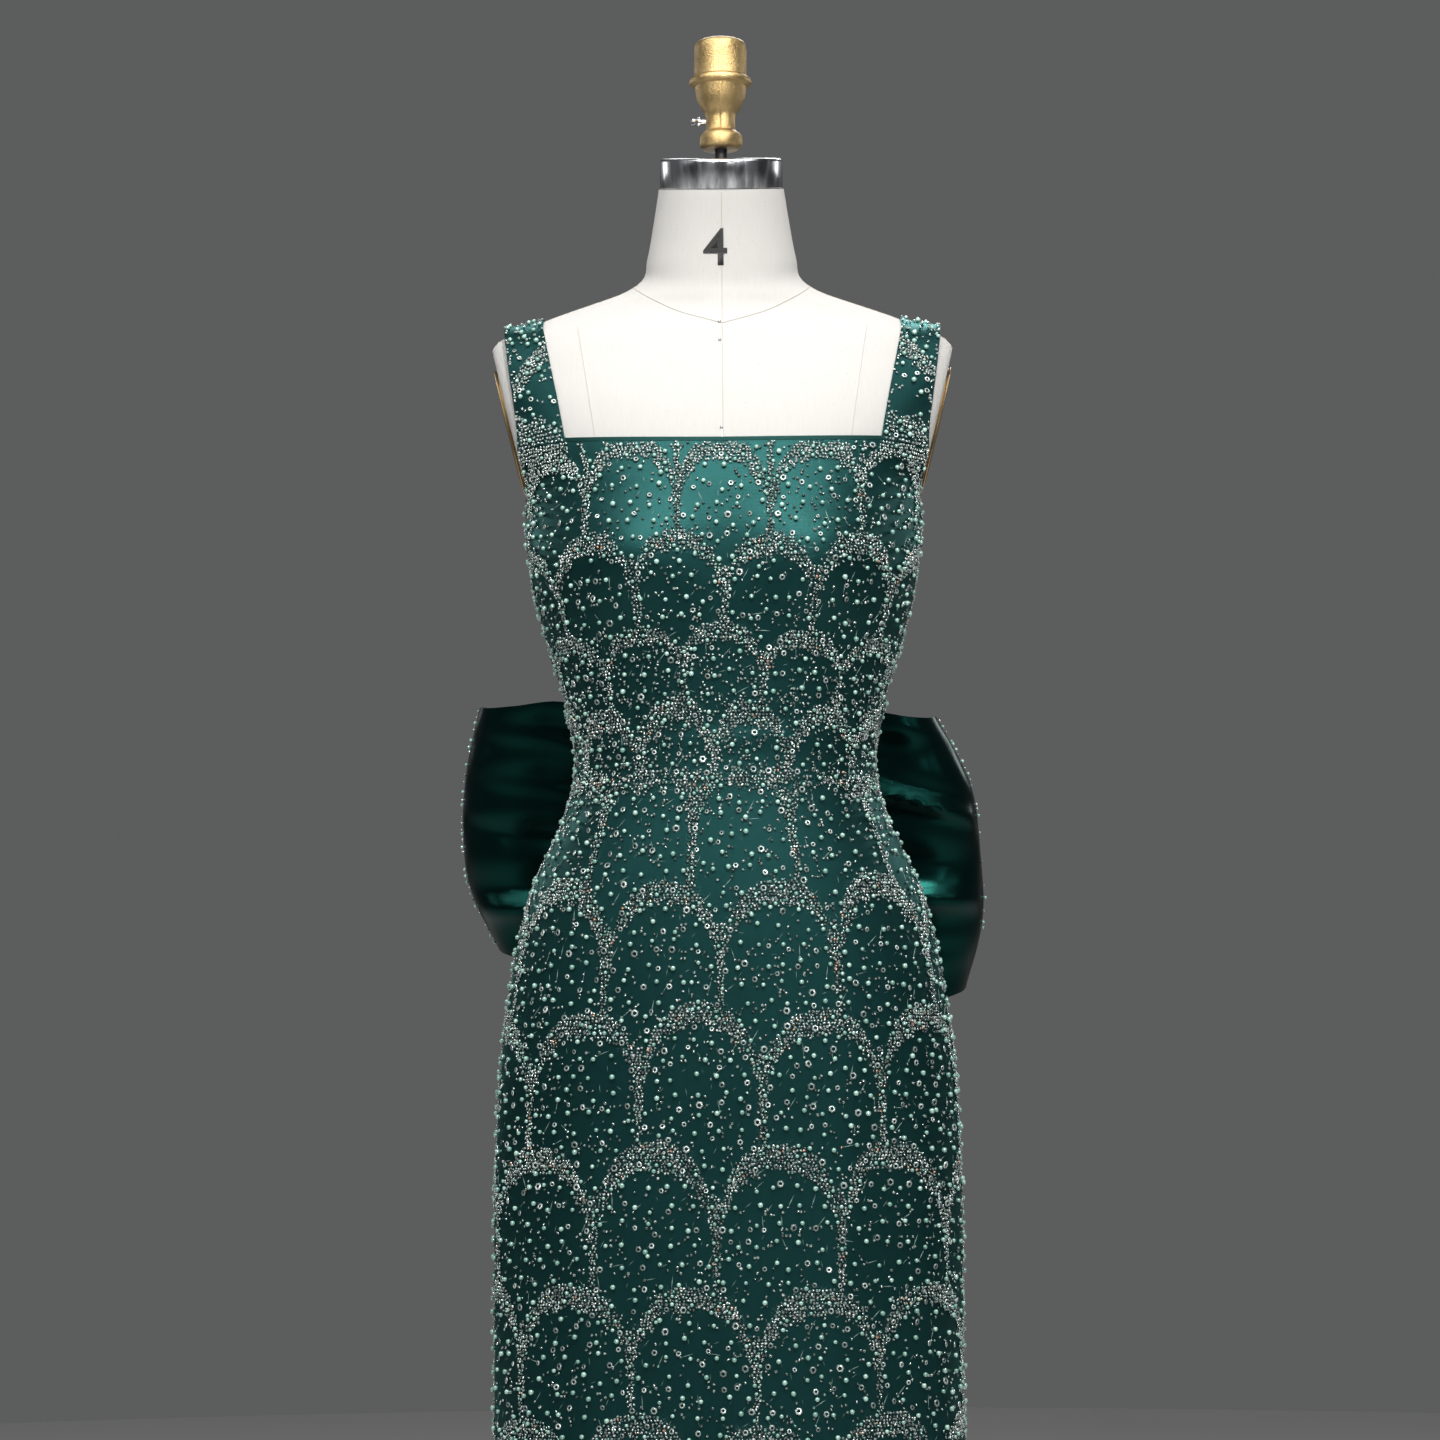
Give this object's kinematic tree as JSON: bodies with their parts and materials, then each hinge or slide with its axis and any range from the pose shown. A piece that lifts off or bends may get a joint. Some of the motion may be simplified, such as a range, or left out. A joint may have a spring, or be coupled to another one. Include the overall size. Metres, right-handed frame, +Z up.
{
  "type": "evening gown on dress form",
  "caption": "Fitted floor-length column gown with a square neckline, wide straps and a back bow, worn by a limbless dress form on a round base.",
  "frame": {"origin": "centre of the round base's flat underside, on the floor", "axes": "+Z up along the pole; the gown's front faces -Y; +X is to the right of someone who looks at the front"},
  "size_m": [0.4149, 0.3665, 1.624],
  "materials": {
    "gown_satin": "soft satin with a beaded net over it",
    "bow_satin": "smooth satin",
    "zip_tape": "matt tape",
    "zip_metal": "satin metal",
    "cream_linen": "matt flecked linen",
    "polished_steel": "polished",
    "cast_brass": "cast, worn",
    "chrome": "bright",
    "black_iron": "satin black enamel"
  },
  "bodies": {
    "gown": {"bodice_front": "gown_satin", "bodice_back_left": "gown_satin", "bodice_back_right": "gown_satin", "skirt_front": "gown_satin", "skirt_back_left": "gown_satin", "skirt_back_right": "gown_satin", "strap_left": "gown_satin", "strap_right": "gown_satin", "neck_binding": "gown_satin", "bow_loop_left": "bow_satin", "bow_loop_right": "bow_satin", "bow_knot": "bow_satin", "back_zip": "zip_tape", "zip_slider": "zip_metal", "form_body": "cream_linen", "neck_cap": "polished_steel", "finial": "cast_brass", "finial_rod": "black_iron", "wing_screw": "chrome", "armplate_left": "cast_brass", "armplate_right": "cast_brass", "pole": "polished_steel", "base": "black_iron"},
    "zip_pull_tab": {"zip_pull": "zip_metal"}
  },
  "joints": [
    {"name": "zip_pull_swing", "type": "hinge", "parent": "gown", "child": "zip_pull_tab", "pos_m": [0, 0.10935, 1.2615], "axis": [1, 0, 0], "range_deg": [-4, 120]}
  ]
}
